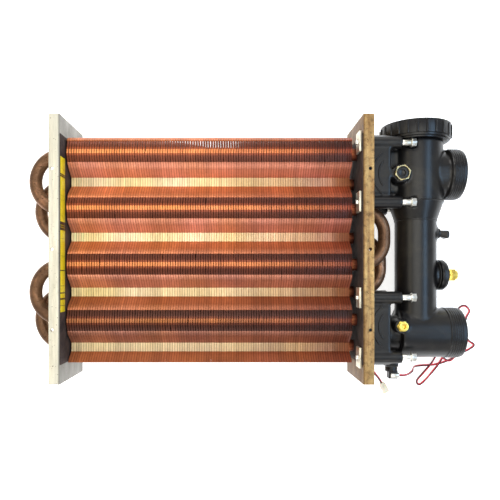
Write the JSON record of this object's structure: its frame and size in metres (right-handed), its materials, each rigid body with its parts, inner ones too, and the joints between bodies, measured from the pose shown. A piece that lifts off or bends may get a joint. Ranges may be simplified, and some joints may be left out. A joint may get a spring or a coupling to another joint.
{
  "type": "fin-and-tube water heat exchanger",
  "caption": "Copper fin-and-tube heat exchanger between two flanged tube plates, with return bends and a black two-port polymer header, capped spigot and sensor lead.",
  "frame": {"origin": "centre of the bounding box at the surface that the part lies on, without the free lead and its connector", "axes": "+X along the tubes towards the header's ports, +Y along the tube plates towards the blanking nut, +Z away from the surface that it lies on"},
  "size_m": [0.6854, 0.4133, 0.108],
  "materials": {
    "galvanised_plate": "dull galvanised sheet with a cream tarnish",
    "yellow_plate": "yellow zinc sheet, mottled with heat stain and rust",
    "copper_fins": "bright copper sheet, pink to orange, dark where sooted",
    "copper_tube": "copper tube, heat darkened",
    "oxidised_copper": "brown oxidised copper tube",
    "braze": "brazing alloy fillet",
    "end_board": "soot-black board",
    "label": "blank yellow self-adhesive strip",
    "black_polymer": "glass-filled black polymer, semi-gloss",
    "seal_rubber": "black rubber",
    "zinc_steel": "bright zinc-plated steel",
    "nut_plate_zinc": "pale zinc-plated steel",
    "brass": "turned brass",
    "nickel_insert": "nickel-plated brass insert",
    "lead_insulation": "red and black insulated two-core lead",
    "clear_connector": "milky nylon connector"
  },
  "bodies": {
    "exchanger": {"left_tube_plate": "galvanised_plate", "right_tube_plate": "yellow_plate", "fin_pack": "copper_fins", "tube_front_1": "copper_tube", "tube_front_2": "copper_tube", "tube_front_3": "copper_tube", "tube_front_4": "copper_tube", "tube_back_1": "copper_tube", "tube_back_2": "copper_tube", "tube_back_3": "copper_tube", "tube_back_4": "copper_tube", "left_bend_front_upper": "oxidised_copper", "left_bend_front_lower": "oxidised_copper", "left_bend_back_upper": "oxidised_copper", "left_bend_back_lower": "oxidised_copper", "right_bend_front": "oxidised_copper", "right_bend_back": "oxidised_copper", "braze_rings": "braze", "left_end_board": "end_board", "right_end_board": "end_board", "label_strip": "label", "header_body": "black_polymer", "upper_gasket": "seal_rubber", "lower_gasket": "seal_rubber", "header_bolts": "zinc_steel", "bolt_sleeves": "zinc_steel", "nut_plates": "nut_plate_zinc", "bonnet_cap": "black_polymer", "bonnet_o_ring": "seal_rubber", "brass_plug": "brass", "port_insert": "nickel_insert", "insert_plug": "black_polymer", "brass_fitting": "brass", "sensor_housing": "black_polymer", "sensor_ferrule": "zinc_steel", "sensor_lead": "lead_insulation", "lead_connector": "clear_connector", "bypass_spring": "zinc_steel", "bypass_retainer": "brass"},
    "plug": {"blanking_plug": "black_polymer", "plug_o_ring": "seal_rubber"},
    "nut": {"blanking_nut": "black_polymer"},
    "cock": {"wing_cock": "black_polymer"},
    "poppet": {"bypass_poppet": "brass"}
  },
  "joints": [
    {"name": "plug_lift", "type": "slide", "parent": "exchanger", "child": "plug", "axis": [0, 1, 0], "range_m": [0, 0.012]},
    {"name": "nut_turn", "type": "hinge", "parent": "plug", "child": "nut", "pos_m": [0.2545, 0.172, 0.054], "axis": [0, 1, 0], "range_deg": [0, 1080]},
    {"name": "cock_turn", "type": "hinge", "parent": "exchanger", "child": "cock", "pos_m": [0.288, 0.0267, 0.054], "axis": [1, 0, 0], "range_deg": [0, 90]},
    {"name": "bypass_open", "type": "slide", "parent": "exchanger", "child": "poppet", "axis": [0, -1, 0], "range_m": [0, 0.012], "stiffness_N_per_m": 400, "springref_m": -0.01, "deforming": ["bypass_spring"]}
  ],
  "couplings": [
    {"joint": "plug_lift", "follows": "nut_turn", "m_per_rad": 0.000636}
  ]
}
